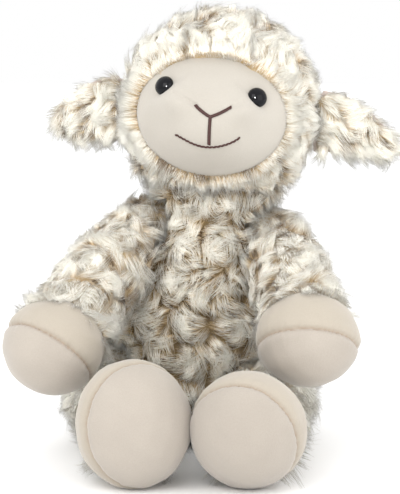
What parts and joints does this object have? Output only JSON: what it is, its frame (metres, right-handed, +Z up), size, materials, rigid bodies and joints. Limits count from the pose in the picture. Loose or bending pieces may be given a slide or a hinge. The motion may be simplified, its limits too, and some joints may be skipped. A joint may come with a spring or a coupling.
{
  "type": "plush sheep",
  "caption": "Seated plush sheep with a turning, nodding head, folding ears, swinging arms and legs, a short tail, and a smooth short-pile face, paws and feet.",
  "frame": {"origin": "middle of the flat seat's underside, on the surface that the toy sits on", "axes": "+Z up, -Y the way the toy faces, +X towards the toy's own left hand"},
  "size_m": [0.2116, 0.2409, 0.2497],
  "materials": {
    "long_pile_fur": "long curled pile, off-white tips on brown roots",
    "short_pile_velour": "cream short-pile cloth",
    "ear_lining_cloth": "pinkish grey short-pile cloth",
    "stuffing": "white polyester fibre",
    "pellet_bag": "plain cloth bag of plastic pellets",
    "eye_plastic": "glossy black",
    "washer_plastic": "white",
    "thread": "dark reddish brown embroidery thread"
  },
  "bodies": {
    "torso": {"torso_front_panel": "long_pile_fur", "torso_back_right_panel": "long_pile_fur", "torso_back_left_panel": "long_pile_fur", "seat_panel": "long_pile_fur", "torso_stuffing": "stuffing", "seat_bean_bag": "pellet_bag"},
    "neck": {"neck_stuffing": "stuffing"},
    "head": {"head_right_panel": "long_pile_fur", "head_left_panel": "long_pile_fur", "head_crown_panel": "long_pile_fur", "face_panel": "short_pile_velour", "head_stuffing": "stuffing", "right_eye": "eye_plastic", "right_eye_washer": "washer_plastic", "left_eye": "eye_plastic", "left_eye_washer": "washer_plastic", "nose_embroidery": "thread", "mouth_embroidery": "thread"},
    "right_ear": {"right_ear_fur_panel": "long_pile_fur", "right_ear_lining_panel": "ear_lining_cloth"},
    "left_ear": {"left_ear_fur_panel": "long_pile_fur", "left_ear_lining_panel": "ear_lining_cloth"},
    "right_arm": {"right_arm_sleeve": "long_pile_fur", "right_paw_upper": "short_pile_velour", "right_paw_sole": "short_pile_velour", "right_arm_stuffing": "stuffing"},
    "left_arm": {"left_arm_sleeve": "long_pile_fur", "left_paw_upper": "short_pile_velour", "left_paw_sole": "short_pile_velour", "left_arm_stuffing": "stuffing"},
    "right_leg": {"right_leg_sleeve": "long_pile_fur", "right_foot_upper": "short_pile_velour", "right_foot_sole": "short_pile_velour", "right_leg_stuffing": "stuffing"},
    "left_leg": {"left_leg_sleeve": "long_pile_fur", "left_foot_upper": "short_pile_velour", "left_foot_sole": "short_pile_velour", "left_leg_stuffing": "stuffing"},
    "tail": {"tail": "long_pile_fur"}
  },
  "joints": [
    {"name": "head_turn", "type": "hinge", "parent": "torso", "child": "neck", "pos_m": [0.01307, -0.002, 0.14943], "axis": [0, 0, 1], "range_deg": [-35, 35]},
    {"name": "head_nod", "type": "hinge", "parent": "neck", "child": "head", "pos_m": [0.01307, -0.002, 0.14943], "axis": [1, 0, 0], "range_deg": [-20, 0]},
    {"name": "right_ear_fold", "type": "hinge", "parent": "head", "child": "right_ear", "pos_m": [-0.04271, -0.00593, 0.19065], "axis": [0, 0, 1], "range_deg": [-30, 30]},
    {"name": "left_ear_fold", "type": "hinge", "parent": "head", "child": "left_ear", "pos_m": [0.07534, -0.01005, 0.18232], "axis": [0, 0, 1], "range_deg": [-30, 30]},
    {"name": "right_arm_lift", "type": "hinge", "parent": "torso", "child": "right_arm", "pos_m": [-0.02359, -0.008, 0.12051], "axis": [-0.9045, 0.4264, 0], "range_deg": [0, 32]},
    {"name": "left_arm_lift", "type": "hinge", "parent": "torso", "child": "left_arm", "pos_m": [0.04415, -0.008, 0.11459], "axis": [-0.9677, -0.2522, 0], "range_deg": [0, 32]},
    {"name": "right_leg_splay", "type": "hinge", "parent": "torso", "child": "right_leg", "pos_m": [-0.045, -0.025, 0.028], "axis": [0, 0, -1], "range_deg": [0, 6]},
    {"name": "left_leg_splay", "type": "hinge", "parent": "torso", "child": "left_leg", "pos_m": [0.045, -0.025, 0.028], "axis": [0, 0, 1], "range_deg": [0, 6]},
    {"name": "tail_wag", "type": "hinge", "parent": "torso", "child": "tail", "pos_m": [0.00349, 0.052, 0.03985], "axis": [0, 0, 1], "range_deg": [-25, 25]}
  ]
}
